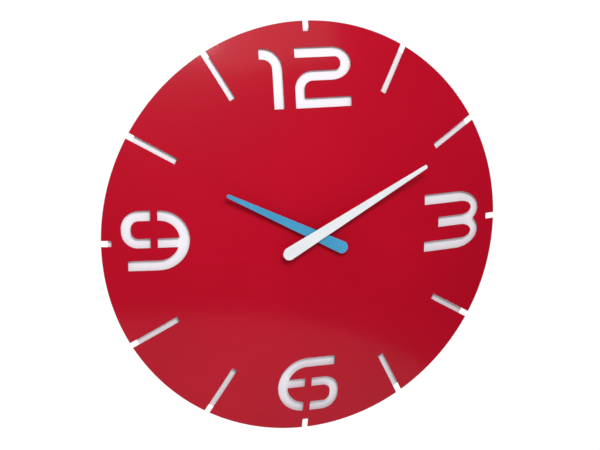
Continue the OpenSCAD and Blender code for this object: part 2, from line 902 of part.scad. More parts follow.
module reduction_wheel() {
    color([0.93, 0.91, 0.85])
        from_axis() {
            arbor(reduction_pos);
            gear(reduction_teeth, rotor_m, 0, reduction_y, wheel_t, reduction_pos);
            gear(reduction_pinion_teeth, seconds_m, reduction_pinion_phase, seconds_y - pinion_over,
                reduction_y - seconds_y + pinion_over, reduction_pos);
        }
}

// The seconds wheel's arbor turns in the rear end of the minute arbor and in the train plate
module seconds_wheel() {
    front = cannon_y;
    color([0.93, 0.91, 0.85])
        from_axis() {
            gear(seconds_teeth, seconds_m, 0, seconds_y, wheel_t);
            gear(seconds_pinion_teeth, third_m, 0, third_y - pinion_over,
                seconds_y - third_y + pinion_over);
            bar(case_y + front, train_plate_y - end_play - front, seconds_pivot_r);
            bar(case_y + train_plate_y - end_play - 0.1, pivot_len + 0.1, pivot_r);
        }
}

module third_wheel() {
    color([0.93, 0.91, 0.85])
        from_axis() {
            arbor(third_pos);
            gear(third_teeth, third_m, third_phase, third_y, wheel_t, third_pos);
            gear(third_pinion_teeth, centre_m, 0, centre_y - pinion_over,
                third_y - centre_y + pinion_over, third_pos);
        }
}

// The centre wheel turns on the minute arbor, which slips in it when the hands are set
module centre_wheel() {
    hub_r = 2;
    hub_t = wheel_t + 0.3;
    color([0.85, 0.7, 0.4])
        from_axis()
            difference() {
                union() {
                    gear(centre_teeth, centre_m, centre_phase, centre_y, wheel_t);
                    bar(case_y + centre_y, hub_t, hub_r);
                }
                bar(case_y + centre_y - 1, hub_t + 2, minute_rear_r + run_c);
            }
}

// The friction clutch: a flat star that presses the centre wheel
module clutch_spring() {
    color([0.8, 0.8, 0.82])
        from_axis()
            slab(case_y + centre_y - end_play - spring_t, spring_t)
                difference() {
                    union() {
                        circle(r = minute_rear_r + 0.7);
                        for (a = [0 : 120 : 240])
                            rotate(a)
                                box2d(0, -0.5, 3.6, 0.5);
                    }
                    circle(r = minute_rear_r);
                }
}

// The minute arbor with the cannon pinion; the minute hand sits on its front end
module minute_arbor() {
    rear = centre_y + wheel_t + 0.3;
    color([0.8, 0.65, 0.35])
        from_axis()
            difference() {
                union() {
                    bar(minute_tip_y + hand_t, case_y + cannon_y + cannon_t - minute_tip_y - hand_t,
                        minute_r);
                    gear(cannon_teeth, motion_m, 0, cannon_y, cannon_t);
                    bar(case_y + cannon_y, rear - cannon_y, minute_rear_r);
                }
                bar(case_y + cannon_y - 0.5, rear, seconds_pivot_r + run_c);
            }
}

// The motion wheel and its pinion turn on a post of the case
module motion_wheel() {
    color([0.93, 0.91, 0.85])
        from_axis()
            difference() {
                union() {
                    gear(motion_teeth, motion_m, motion_phase, motion_y, motion_t, motion_pos);
                    gear(motion_pinion_teeth, hour_m, 0, hour_wheel_y - end_play,
                        motion_y - hour_wheel_y + end_play, motion_pos);
                }
                bar(case_y, case_depth, 0.8 + run_c, motion_pos);
            }
}

// The hour wheel with its long tube; the hour hand sits on the tube's front end
module hour_wheel() {
    color([0.93, 0.91, 0.85])
        from_axis()
            difference() {
                union() {
                    gear(hour_teeth, hour_m, hour_phase, hour_wheel_y, hour_wheel_t);
                    bar(hour_tip_y, case_y + hour_wheel_y + hour_wheel_t - hour_tip_y, hour_tube_r);
                }
                bar(hour_tip_y - 1, case_y + case_depth - hour_tip_y, minute_r + run_c);
            }
}

// The setting pinion and its knurled knob behind the cover
module setting_knob() {
    knob_d = 9.2;
    knob_t = 1.8;
    front = case_wall + end_play;
    knob_y = cover_y + 0.1;
    color([0.9, 0.9, 0.88])
        from_axis() {
            bar(case_y + front - pivot_len, pivot_len + 1, pivot_r, setting_pos);
            bar(case_y + front, knob_y - front, 1.2, setting_pos);
            gear(setting_teeth, motion_m, setting_phase, cannon_y, cannon_t, setting_pos);
            translate([setting_pos[0], 0, setting_pos[1]])
                slab(case_y + knob_y, knob_t)
                    union() {
                        circle(d = knob_d - 0.8);
                        for (a = [0 : 18 : 342])
                            rotate(a)
                                box2d(0, -0.35, knob_d / 2, 0.35);
                    }
        }
}

module circuit_board() {
    color([0.1, 0.35, 0.2])
        from_axis()
            slab(case_y + board_y, board_t)
                box2d(board_x0, board_z0, board_x1, board_z1);
}

module timing_chip() {
    color([0.05, 0.05, 0.05])
        from_axis()
            difference() {
                translate([14, case_y + board_y, 20.5])
                    sphere(r = 2);
                translate([0, case_y + board_y, -50])
                    cube(100);
            }
}

module quartz_crystal() {
    color([0.8, 0.8, 0.82])
        from_axis()
            translate([17, case_y + board_y - 1, 23.9])
                rotate([0, 90, 0])
                    cylinder(h = 6, r = 1);
}

// The plus contact: a flat strip up the right-hand wall, bent over the board's edge
module contact_plus() {
    color([0.8, 0.78, 0.7])
        from_axis() {
            translate([contact_x, case_y + contact_y, battery_z - 4])
                cube([contact_t, contact_w, 22.5 - battery_z]);
            translate([contact_x, case_y + battery_y - 3, battery_z - 4])
                cube([contact_t, contact_y - battery_y + 3, 8]);
            translate([board_x1 - 2, case_y + board_y - contact_t, 15])
                cube([contact_x + contact_t - board_x1 + 2, contact_t, 3]);
        }
}

// The minus contact: a bent leaf at the battery's flat end and a strip to the board
module contact_minus() {
    wall_x = -contact_x;
    run_z = bay_top_z + case_wall + 0.2;
    up_x = 21;
    color([0.8, 0.78, 0.7])
        from_axis() {
            translate([wall_x - contact_t, case_y + contact_y, battery_z - 4])
                cube([contact_t, contact_w, run_z - battery_z + 4]);
            translate([wall_x - contact_t, case_y + contact_y, run_z])
                cube([up_x - wall_x + contact_t, contact_w, contact_t]);
            translate([up_x - contact_t, case_y + contact_y, run_z])
                cube([contact_t, contact_w, board_z0 + 1 - run_z]);
            translate([0, case_y + battery_y, battery_z - 3])
                linear_extrude(6)
                    polygon([[wall_x - 0.1, 1.6], [battery_x, 0.2], [battery_x, -0.2], [wall_x, -2.5],
                        [wall_x, -2.1], [battery_x - 0.4, 0], [wall_x - 0.1, 1.2]]);
        }
}

// A size AA cell; its button presses on the plus contact
module battery() {
    button_len = 1;
    button_r = 2.75;
    color([0.2, 0.35, 0.6])
        from_axis()
            translate([battery_x, case_y + battery_y, battery_z])
                rotate([0, 90, 0]) {
                    cylinder(h = battery_len - button_len, d = battery_d);
                    cylinder(h = battery_len, r = button_r);
                }
}

module hour_hand() {
    color([0.2, 0.6, 0.85])
        from_axis()
            difference() {
                slab(hour_tip_y, hand_t)
                    hand2d(hour_len, hour_tail, hour_tip_w, hour_tail_w, hour_angle);
                bar(hour_tip_y - 1, hand_t + 2, hour_tube_r);
            }
}

module hour_hand_bush() {
    bush_r = 3.6;
    bush_h = 2.4;
    color([0.2, 0.55, 0.8])
        from_axis()
            difference() {
                bar(hour_tip_y + hand_t, bush_h, bush_r);
                bar(hour_tip_y, bush_h + 2, hour_tube_r);
            }
}

module minute_hand() {
    color([0.96, 0.96, 0.97])
        from_axis()
            slab(minute_tip_y, hand_t)
                hand2d(minute_len, minute_tail, minute_tip_w, minute_tail_w, minute_angle);
}

module minute_hand_bush() {
    bush_r = 2.8;
    room = 0.4;
    color([0.9, 0.9, 0.9])
        from_axis()
            difference() {
                bar(minute_tip_y + hand_t, minute_front - hour_front - hand_t - room, bush_r);
                bar(minute_tip_y, minute_front, minute_r);
            }
}

dial_plate();
plate_studs();
stud_sleeves();
backing_disc();
stud_seats();
stud_nuts();
hanger_plate();
hanger_legs();
wall_feet();
bush_nut();
bush_washer();
case_gasket();
movement_case();
movement_cover();
train_plate();
stator();
coil_core();
coil_bobbin();
coil_winding();
rotor_magnet();
rotor_pinion();
reduction_wheel();
seconds_wheel();
third_wheel();
centre_wheel();
clutch_spring();
minute_arbor();
motion_wheel();
hour_wheel();
setting_knob();
circuit_board();
timing_chip();
quartz_crystal();
contact_plus();
contact_minus();
battery();
hour_hand();
hour_hand_bush();
minute_hand();
minute_hand_bush();
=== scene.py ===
import json
import math

import bmesh
import bpy
import numpy as np
from mathutils import Matrix, Vector
from mathutils.geometry import delaunay_2d_cdt


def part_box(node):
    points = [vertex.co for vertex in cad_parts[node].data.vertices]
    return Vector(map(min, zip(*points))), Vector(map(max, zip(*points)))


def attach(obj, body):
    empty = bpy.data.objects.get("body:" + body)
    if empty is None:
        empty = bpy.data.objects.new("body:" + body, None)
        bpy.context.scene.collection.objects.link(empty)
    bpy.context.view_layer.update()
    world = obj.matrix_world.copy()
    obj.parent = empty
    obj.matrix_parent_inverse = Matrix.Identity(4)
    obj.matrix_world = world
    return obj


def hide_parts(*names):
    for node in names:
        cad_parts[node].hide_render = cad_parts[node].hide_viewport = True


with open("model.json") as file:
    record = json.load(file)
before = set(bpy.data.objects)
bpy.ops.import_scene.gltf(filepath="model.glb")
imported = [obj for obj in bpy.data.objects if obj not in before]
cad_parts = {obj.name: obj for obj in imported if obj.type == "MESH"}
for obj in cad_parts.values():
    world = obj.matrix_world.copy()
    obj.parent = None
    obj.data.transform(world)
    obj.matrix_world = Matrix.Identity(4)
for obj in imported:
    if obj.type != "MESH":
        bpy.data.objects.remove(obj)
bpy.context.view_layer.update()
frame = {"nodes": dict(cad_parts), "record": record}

nodes = frame["nodes"]
MM = 0.001

# ---------------------------------------------------------------- sizes, in millimetres
AXIS_Z = -78.0
RIM_R = 175.0
RISE = 22.2
RIM_Y = -4.5
SHEET_T = 1.0
GAP = 2.6
BALL_R = (RIM_R ** 2 + RISE ** 2) / (2 * RISE)
APEX_Y = RIM_Y - RISE
BALL_Y = APEX_Y + BALL_R
BACKING_R = 168.8
HUB_HOLE_R = 4.6
BUSH_HOLE_R = 4.2
EDGE = 0.16
HAND_T, HAND_EDGE = 0.8, 0.22
MINUTE_FRONT_Y, HOUR_FRONT_Y = -35.0, -31.9
HOUR_TUBE_R = 2.5
STUD_R = 1.5
STUD_CIRCLE_R = 140.0
HANGER_STUD_X, HANGER_STUD_Z = 28.0, 78.0
FOOT_STUD_X, FOOT_STUD_Z = 60.0, -75.0

SLOT_W = 5.1
SLOT_IN = 131.5
NOTCH_IN = 166.7

DIGIT_H, DIGIT_W = 49.8, 55.0
STROKE, BOWL_STROKE = 8.4, 7.9
BOWL_H, BOWL_R, BOWL_IN = 30.9, 13.9, 6.0
OPEN_BAR = 5.25
BRIDGE = 5.5
TWELVE_TOP = 24.475

# Where each numeral sits, from the middle of the dial to the numeral's own middle
SIX_PLACE, SIX_BRIDGE_X = (0.5, -134.0), -0.5
NINE_PLACE, NINE_BRIDGE_X = (-131.75, 1.65), 1.3
THREE_PLACE = (130.7, 0)
TWELVE_PLACE, TWO_LEFT_X, ONE_RIGHT_X = (0, 129.05), -12.65, -22.65

MINUTE_HAND = {"length": 111.5, "tail": 32.9, "tip_w": 3.3, "tail_w": 10.8, "clock_angle": 61.6}
HOUR_HAND = {"length": 86.0, "tail": 31.1, "tip_w": 3.2, "tail_w": 10.3, "clock_angle": 296.75}

# How finely the sheets are cut into faces
DIAL_GRID, BACKING_GRID, HAND_GRID = 5.0, 6.0, 3.0
LONGEST_RUN, SHORTEST_RUN = 3.0, 1e-6
LEAST_TWICE_AREA = 1e-3
EDGE_STEPS = 3
SHARPEST_MITRE = 0.3


# ---------------------------------------------------------------- outlines
def arc(cx, cz, r, start, end, r2=None, step=6.0):
    """Points along part of a circle, or of an ellipse when r2 is its half height."""
    count = max(2, int(abs(end - start) / step) + 1)
    turns = np.radians(np.linspace(start, end, count))
    return [(cx + r * math.cos(a), cz + (r2 or r) * math.sin(a)) for a in turns]


def moved(points, dx, dz, turn=0.0):
    c, s = math.cos(math.radians(turn)), math.sin(math.radians(turn))
    return [(x * c - z * s + dx, x * s + z * c + dz) for x, z in points]


def six_loops(bridge_x):
    """The two openings of a 6, about its own middle."""
    top = DIGIT_H / 2
    half = DIGIT_W / 2
    arc_x = top - half
    inner = top - STROKE
    bowl_top = BOWL_H - top
    mid_low = bowl_top - BOWL_STROKE
    left, right = bridge_x - BRIDGE / 2, bridge_x + BRIDGE / 2
    void_x = half - BOWL_STROKE
    high = math.degrees(math.asin(bowl_top / inner))
    low = math.degrees(math.asin(mid_low / inner))
    c_shape = [(half - OPEN_BAR, inner), (half - OPEN_BAR, top)]
    c_shape += arc(arc_x, 0, top, 90, 270)
    c_shape += [(left, -top), (left, -inner)]
    c_shape += arc(arc_x, 0, inner, 270, 180 - low)
    c_shape += [(left, mid_low), (left, bowl_top)]
    c_shape += arc(arc_x, 0, inner, 180 - high, 90)
    bowl = [(right, -inner), (right, -top)]
    bowl += arc(half - BOWL_R, BOWL_R - top, BOWL_R, -90, 0)
    bowl += arc(half - BOWL_R, bowl_top - BOWL_R, BOWL_R, 0, 90)
    bowl += [(right, bowl_top), (right, mid_low)]
    bowl += arc(void_x - BOWL_IN, mid_low - BOWL_IN, BOWL_IN, 90, 0, step=10)
    bowl += arc(void_x - BOWL_IN, BOWL_IN - inner, BOWL_IN, 0, -90, step=10)
    return [c_shape, bowl]


def three_loop():
    """The opening of the 3, about its own middle."""
    width, stroke, short = 54.6, 8.8, 13.8
    top = DIGIT_H / 2
    left = -width / 2
    lobe_a, lobe_b = 22.0, 15.2
    lobe_x, lobe_z = width / 2 - lobe_a, top - lobe_b
    void_a, side_stroke = 10.2, 7.45
    void_b = (top - 1.5 * stroke) / 2
    void_x, void_z = width / 2 - side_stroke - void_a, stroke / 2 + void_b
    notch = math.degrees(math.asin(lobe_z / lobe_b))
    points = [(left, -top)]
    points += arc(lobe_x, -lobe_z, lobe_a, -90, notch, lobe_b)
    points += arc(lobe_x, lobe_z, lobe_a, -notch, 90, lobe_b)
    points += [(left, top), (left, void_z + void_b)]
    points += arc(void_x, void_z, void_a, 90, -90, void_b, step=10)
    points += [(left + short, void_z - void_b), (left + short, void_b - void_z)]
    points += arc(void_x, -void_z, void_a, 90, -90, void_b, step=10)
    points += [(left, -void_z - void_b)]
    return points


def one_loop(right_x):
    top, stroke, curl, flag = TWELVE_TOP, 8.6, 16.55, 2.75
    points = [(-stroke, -top), (0, -top)]
    points += arc(-curl, top - curl, curl, 0, 90)
    points += [(-curl - flag, top), (-curl - flag, top - stroke)]
    points += arc(-curl, top - curl, curl - stroke, 90, 0, step=10)
    return moved(points, right_x, 0)


def two_loop(left_x):
    top, stroke, width = TWELVE_TOP, 8.1, 50.3
    lobe_a, lobe_b = 17.45, 13.45
    lobe_x, lobe_z = width - lobe_a, top - lobe_b
    mid_top = top - 2 * lobe_b + stroke
    turn = 15.45
    side_stroke, end_short = 9.4, 1.05
    void_a, void_b = 4.6, lobe_b - stroke
    void_x = width - side_stroke - void_a
    foot_x = width - end_short
    points = [(0, -top), (foot_x, -top), (foot_x, stroke - top), (stroke, stroke - top)]
    points += arc(turn, mid_top - turn, turn - stroke, 180, 90, step=10)
    points += arc(lobe_x, lobe_z, lobe_a, -90, 90, lobe_b)
    points += [(end_short, top), (end_short, top - stroke)]
    points += arc(void_x, lobe_z, void_a, 90, -90, void_b, step=10)
    points += arc(turn, mid_top - turn, turn, 90, 180)
    return moved(points, left_x, 0)


def rim_loop():
    """The dial plate's round edge with its twelve slots, counter-clockwise."""
    half = SLOT_W / 2
    reach = math.degrees(math.asin(half / RIM_R))
    points = []
    for hour in range(12):
        middle = 90 + 30 * hour
        inner = NOTCH_IN if hour % 3 == 0 else SLOT_IN
        c, s = math.cos(math.radians(middle)), math.sin(math.radians(middle))
        points += [(inner * c + half * s, inner * s - half * c)]
        points += [(inner * c - half * s, inner * s + half * c)]
        points += arc(0, 0, RIM_R, middle + reach, middle + 30 - reach, step=1.5)
    return points


def refined(points, longest=LONGEST_RUN):
    """The same outline with its long straight runs cut into short ones."""
    out = []
    for (x0, z0), (x1, z1) in zip(points, points[1:] + points[:1]):
        run = math.hypot(x1 - x0, z1 - z0)
        if run < SHORTEST_RUN:
            continue
        count = max(1, math.ceil(run / longest))
        out += [(x0 + (x1 - x0) * i / count, z0 + (z1 - z0) * i / count) for i in range(count)]
    return np.array(out)


def area(points):
    x, z = points[:, 0], points[:, 1]
    return 0.5 * float(np.sum(x * np.roll(z, -1) - z * np.roll(x, -1)))


def inside(points, loops):
    """Which points lie inside the outer loop and outside the others."""
    crossings = np.zeros(len(points), int)
    for loop in loops:
        nxt = np.roll(loop, -1, 0)
        for (x0, z0), (x1, z1) in zip(loop, nxt):
            if z0 == z1:
                continue
            hit = (points[:, 1] >= min(z0, z1)) & (points[:, 1] < max(z0, z1))
            cut = x0 + (points[:, 1] - z0) * (x1 - x0) / (z1 - z0)
            crossings += hit & (points[:, 0] < cut)
    return crossings % 2 == 1


def pressed_sheet(name, outlines, surface, thickness, grid, edge=EDGE):
    """A sheet cut to its outlines, with a small round on every edge and true surface normals.

    surface(x, z, depth) gives the point and the outward normal at a depth behind the front.
    """
    loops = [refined(list(map(tuple, o))) for o in outlines]
    loops = [loop if (area(loop) > 0) == (i == 0) else loop[::-1] for i, loop in enumerate(loops)]
    inward, lips = [], []
    for loop in loops:
        ahead = np.roll(loop, -1, 0) - loop
        ahead /= np.linalg.norm(ahead, axis=1)[:, None]
        normal = np.stack([-ahead[:, 1], ahead[:, 0]], 1)
        both = normal + np.roll(normal, 1, 0)
        both /= np.maximum(1.0 + np.sum(normal * np.roll(normal, 1, 0), 1), SHARPEST_MITRE)[:, None]
        inward.append(both)
        lips.append(loop + both * edge)

    lowest, highest = loops[0].min(0), loops[0].max(0)
    xs = np.arange(lowest[0], highest[0], grid)
    zs = np.arange(lowest[1], highest[1], grid * 0.866)
    field = np.array([(x + (0.5 * grid if j % 2 else 0), z) for j, z in enumerate(zs) for x in xs])
    rim = np.concatenate(lips)
    near = np.array([np.min(np.sum((rim - p) ** 2, 1)) for p in field])
    field = field[(near > (0.45 * grid) ** 2) & inside(field, loops)]

    flat = [Vector(p) for p in rim] + [Vector(p) for p in field]
    edges, first = [], 0
    for lip in lips:
        count = len(lip)
        edges += [(first + i, first + (i + 1) % count) for i in range(count)]
        first += count
    points, _, tris, sources, *_ = delaunay_2d_cdt(flat, edges, [], 0, 1e-6)
    points = np.array([tuple(p) for p in points])
    found = {source: i for i, group in enumerate(sources) for source in group}
    tris = np.array([t for t in tris if len(t) == 3])
    side_a, side_b = points[tris[:, 1]] - points[tris[:, 0]], points[tris[:, 2]] - points[tris[:, 0]]
    twice_area = np.abs(side_a[:, 0] * side_b[:, 1] - side_a[:, 1] * side_b[:, 0])
    tris = tris[inside(points[tris].mean(1), lips) & (twice_area > LEAST_TWICE_AREA)]

    verts, normals, faces = [], [], []
    for depth, turn in ((0.0, 1), (thickness, -1)):
        base = len(verts)
        for x, z in points:
            p, n = surface(x, z, depth)
            verts.append(p)
            normals.append(n * turn)
        for a, b, c in tris:
            (ax, az), (bx, bz), (cx, cz) = points[a], points[b], points[c]
            up = (bx - ax) * (cz - az) - (bz - az) * (cx - ax) > 0
            second, third = (b, c) if up == (turn == 1) else (c, b)
            faces.append((base + a, base + second, base + third))
    offset = len(points)

    first = 0
    for loop, push, lip in zip(loops, inward, lips):
        count = len(loop)
        front = [found[first + i] for i in range(count)]
        first += count
        rings = [front]
        profile = [(edge * (1 - math.sin(a)), edge * (1 - math.cos(a)), a)
                   for a in np.radians(np.linspace(0, 90, EDGE_STEPS + 1))[1:]]
        profile += [(i, thickness - d, math.pi - a) for i, d, a in reversed(profile)]
        for inset, depth, lean in profile:
            ring = []
            for (x, z), (px, pz) in zip(loop, push):
                p, n = surface(x + px * inset, z + pz * inset, depth)
                out = Vector((-px, 0, -pz)).normalized()
                ring.append(len(verts))
                verts.append(p)
                normals.append((n * math.cos(lean) + out * math.sin(lean)).normalized())
            rings.append(ring)
        rings.append([offset + i for i in front])
        for a, b in zip(rings, rings[1:]):
            for i in range(count):
                j = (i + 1) % count
                faces.append((a[i], b[i], b[j], a[j]))

    mesh = bpy.data.meshes.new(name)
    mesh.from_pydata([tuple(v * MM) for v in verts], [], faces)
    mesh.validate()
    mesh.polygons.foreach_set("use_smooth", [True] * len(mesh.polygons))
    mesh.normals_split_custom_set_from_vertices([tuple(n) for n in normals])
    piece = bpy.data.objects.new(name, mesh)
    bpy.context.scene.collection.objects.link(piece)
    return piece


def dome(front_r):
    """The surface of a domed sheet whose front is a ball of that radius."""
    def at(x, z, depth):
        r = front_r - depth
        y = BALL_Y - math.sqrt(r * r - x * x - z * z)
        n = Vector((x, y - BALL_Y, z)).normalized()
        return Vector((x, y, z + AXIS_Z)), n
    return at


def flat_front(y):
    def at(x, z, depth):
        return Vector((x, y + depth, z + AXIS_Z)), Vector((0, -1, 0))
    return at


# ---------------------------------------------------------------- materials
class Value:
    """A value that varies over a surface; + - * and / on numbers add the Math nodes."""

    def __init__(self, finish, socket):
        self.finish, self.socket = finish, socket

    def math(self, operation, *sides, clamp=False):
        settings = {"operation": operation, "use_clamp": clamp}
        return self.finish.node("Math", settings, dict(enumerate(sides)))

    def __add__(self, other):
        return self.math("ADD", self, other)

    def __radd__(self, other):
        return self.math("ADD", other, self)

    def __sub__(self, other):
        return self.math("SUBTRACT", self, other)

    def __rsub__(self, other):
        return self.math("SUBTRACT", other, self)

    def __mul__(self, other):
        return self.math("MULTIPLY", self, other)

    def __rmul__(self, other):
        return self.math("MULTIPLY", other, self)

    def __truediv__(self, other):
        return self.math("DIVIDE", self, other)

    def __rtruediv__(self, other):
        return self.math("DIVIDE", other, self)

    def clipped(self):
        return self.math("ADD", self, 0.0, clamp=True)

    def between(self, low, high):
        """0 below low, 1 above high, smooth between them."""
        ranges = {"interpolation_type": "SMOOTHSTEP"}
        return self.finish.node("MapRange", ranges, {"Value": self, "From Min": low, "From Max": high})


class Finish:
    """One material, built around a Principled shader."""

    def __init__(self, name, **fixed):
        self.material = bpy.data.materials.new(name)
        self.material.use_nodes = True
        self.tree = self.material.node_tree
        self.tree.nodes.clear()
        self.shader = self.tree.nodes.new("ShaderNodeBsdfPrincipled")
        output = self.tree.nodes.new("ShaderNodeOutputMaterial")
        self.tree.links.new(self.shader.outputs[0], output.inputs[0])
        self.set(**fixed)
        self.place = self.node("TexCoord", {}, {}, "Object")

    def set(self, **values):
        for name, value in values.items():
            self.join(self.shader.inputs[name.replace("_", " ")], value)
        return self

    def join(self, socket, value):
        if isinstance(value, Value):
            self.tree.links.new(value.socket, socket)
        elif hasattr(socket.default_value, "__len__") and len(socket.default_value) == 4 and len(value) == 3:
            socket.default_value = (*value, 1.0)
        else:
            socket.default_value = value

    def node(self, kind, settings, inputs, output=0):
        """Adds one node: its settings first, then the values or links of its sockets."""
        new = self.tree.nodes.new("ShaderNode" + kind)
        for name, value in settings.items():
            setattr(new, name, value)
        for name, value in inputs.items():
            self.join(new.inputs[name], value)
        return Value(self, new.outputs[output])

    def noise(self, scale, detail=2.0, stretch=None):
        where = self.place
        if stretch:
            where = self.node("Mapping", {}, {"Vector": where, "Scale": stretch})
        sockets = {"Vector": where, "Scale": scale, "Detail": detail, "Roughness": 0.5}
        return self.node("TexNoise", {}, sockets)

    def cells(self, scale, output):
        return self.node("TexVoronoi", {"feature": "F1"}, {"Vector": self.place, "Scale": scale}, output)

    def mix(self, share, first, second):
        return self.node("Mix", {"data_type": "RGBA"}, {0: share, 6: first, 7: second}, 2)

    def bump(self, height, distance, strength):
        return self.node("Bump", {}, {"Height": height, "Distance": distance, "Strength": strength})

    def cut_edges(self):
        """Near 1 on the cut edges of a sheet that faces the Y axis, 0 on its two faces."""
        normal = self.node("TexCoord", {}, {}, "Normal")
        along = self.node("SeparateXYZ", {}, {0: normal}, 1)
        return 1 - along.math("ABSOLUTE", along).between(0.40, 0.85)

    def worn_edges(self):
        """Near 1 on sharp outside edges."""
        point = self.node("NewGeometry", {}, {}, "Pointiness")
        return point.between(0.52, 0.58)


def red_paint():
    f = Finish("red satin paint", Metallic=0.0, IOR=1.5, Specular_IOR_Level=0.08,
               Coat_Roughness=0.13, Coat_IOR=1.5)
    cloud = f.noise(9.0, 3.0)
    grain = f.noise(1400.0, 2.0)
    peel = f.noise(520.0, 2.0)
    deep, light = (0.425, 0.0006, 0.0135), (0.465, 0.0010, 0.0165)
    colour = f.mix(cloud.between(0.3, 0.7), deep, light)
    colour = f.mix(grain.between(0.35, 0.65) * 0.10, colour, (0.50, 0.004, 0.022))
    # Painted shade: the cut edges of the sheet are painted a dark red, standing in for the dark line that
    # shade lays along them.
    colour = f.mix(f.cut_edges() * 0.7, colour, (0.12, 0.010, 0.013))
    height = peel * 0.7 + grain * 0.3
    f.set(Base_Color=colour, Roughness=0.42 + cloud * 0.06, Coat_Weight=0.26 + grain * 0.08,
          Normal=f.bump(height, 0.00002, 0.5))
    return f.material


def white_sheet():
    f = Finish("white backing sheet", Metallic=0.0, IOR=1.46)
    cloud = f.noise(12.0, 3.0)
    grain = f.noise(2200.0, 2.0)
    colour = f.mix(cloud.between(0.3, 0.7), (0.90, 0.88, 0.94), (0.93, 0.91, 0.96))
    f.set(Base_Color=colour, Roughness=0.46 + cloud * 0.08, Normal=f.bump(grain, 0.00001, 0.5))
    return f.material


def hand_paint(name, deep, light):
    f = Finish(name, Metallic=0.0, IOR=1.5, Coat_Roughness=0.15)
    cloud = f.noise(60.0, 3.0)
    grain = f.noise(2600.0, 2.0)
    colour = f.mix(cloud.between(0.3, 0.7), deep, light)
    f.set(Base_Color=colour, Roughness=0.36 + cloud * 0.06, Coat_Weight=0.25,
          Normal=f.bump(grain, 0.000012, 0.5))
    return f.material


def zinc_steel():
    f = Finish("zinc plated steel", Metallic=1.0)
    spangle = f.node("SeparateXYZ", {}, {0: f.cells(330.0, "Color")}, 0)
    cloud = f.noise(70.0, 4.0)
    rolled = f.noise(900.0, 3.0, stretch=(1.0, 1.0, 0.08))
    colour = f.mix(cloud.between(0.35, 0.7), (0.40, 0.42, 0.46), (0.55, 0.55, 0.53))
    colour = f.mix(spangle * 0.35, colour, (0.62, 0.64, 0.68))
    f.set(Base_Color=colour, Roughness=0.26 + cloud * 0.12 + rolled * 0.10 + spangle * 0.08,
          Normal=f.bump(rolled * 0.7 + spangle * 0.3, 0.00001, 0.6))
    return f.material


def moulded(name, colour, other, rough, grain_size=900.0, depth=0.00003):
    f = Finish(name, Metallic=0.0, IOR=1.49)
    grain = f.noise(grain_size, 3.0)
    cloud = f.noise(45.0, 3.0)
    edge = f.worn_edges()
    base = f.mix(cloud.between(0.3, 0.7), colour, other)
    lighter = tuple(min(1.0, c * 1.5 + 0.02) for c in other)
    base = f.mix(edge * 0.35, base, lighter)
    f.set(Base_Color=base, Roughness=rough + grain * 0.10 - edge * 0.08, Normal=f.bump(grain, depth, 0.6))
    return f.material


def turned_metal(name, colour, other, rough):
    f = Finish(name, Metallic=1.0)
    cloud = f.noise(160.0, 4.0)
    lines = f.noise(1500.0, 2.0, stretch=(0.2, 1.0, 1.0))
    f.set(Base_Color=f.mix(cloud.between(0.3, 0.7), colour, other), Roughness=rough + cloud * 0.12,
          Normal=f.bump(lines, 0.00001, 0.6))
    return f.material


def enamelled_wire():
    f = Finish("enamelled copper wire", Metallic=1.0, Coat_Roughness=0.1)
    turns = f.node("TexWave", {"wave_type": "BANDS", "bands_direction": "X"},
                   {"Vector": f.place, "Scale": 1900.0, "Distortion": 0.4})
    colour = f.mix(turns, (0.30, 0.09, 0.03), (0.78, 0.33, 0.14))
    f.set(Base_Color=colour, Roughness=0.25 + turns * 0.1, Coat_Weight=0.5,
          Normal=f.bump(turns, 0.00006, 0.8))
    return f.material


def circuit_green():
    f = Finish("green solder mask", Metallic=0.0, IOR=1.5)
    tracks = f.node("TexBrick", {}, {"Vector": f.place, "Scale": 260.0, "Mortar Size": 0.03,
                                     "Color1": (0.02, 0.13, 0.06), "Color2": (0.015, 0.10, 0.05),
                                     "Mortar": (0.06, 0.24, 0.10)})
    grain = f.noise(1200.0, 2.0)
    f.set(Base_Color=tracks, Roughness=0.28 + grain * 0.1, Normal=f.bump(grain, 0.00001, 0.5))
    return f.material


def cell_sleeve():
    """A plain AA cell: a dark sleeve with a copper-coloured band at the button end."""
    f = Finish("battery sleeve", IOR=1.5, Coat_Roughness=0.08)
    low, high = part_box("battery")
    along = f.node("SeparateXYZ", {}, {0: f.place}, 0)
    share = (along - low.x) / (high.x - low.x)
    band = share.between(0.70, 0.705)
    steel = share.between(0.975, 0.98) + (1 - share.between(0.008, 0.012))
    grain = f.noise(600.0, 2.0)
    colour = f.mix(band, (0.012, 0.013, 0.016), (0.55, 0.24, 0.09))
    colour = f.mix(steel.clipped(), colour, (0.65, 0.66, 0.68))
    f.set(Base_Color=colour, Metallic=(steel + band * 0.9).clipped(), Roughness=0.24 + grain * 0.1,
          Coat_Weight=1 - steel.clipped(), Normal=f.bump(grain, 0.00001, 0.4))
    return f.material


def black_rubber():
    f = Finish("black rubber", Metallic=0.0, IOR=1.5)
    grain = f.noise(1600.0, 3.0)
    dust = f.noise(130.0, 4.0)
    colour = f.mix(dust.between(0.45, 0.8), (0.016, 0.016, 0.017), (0.045, 0.043, 0.041))
    f.set(Base_Color=colour, Roughness=0.68 + grain * 0.16, Normal=f.bump(grain, 0.00004, 0.7))
    return f.material


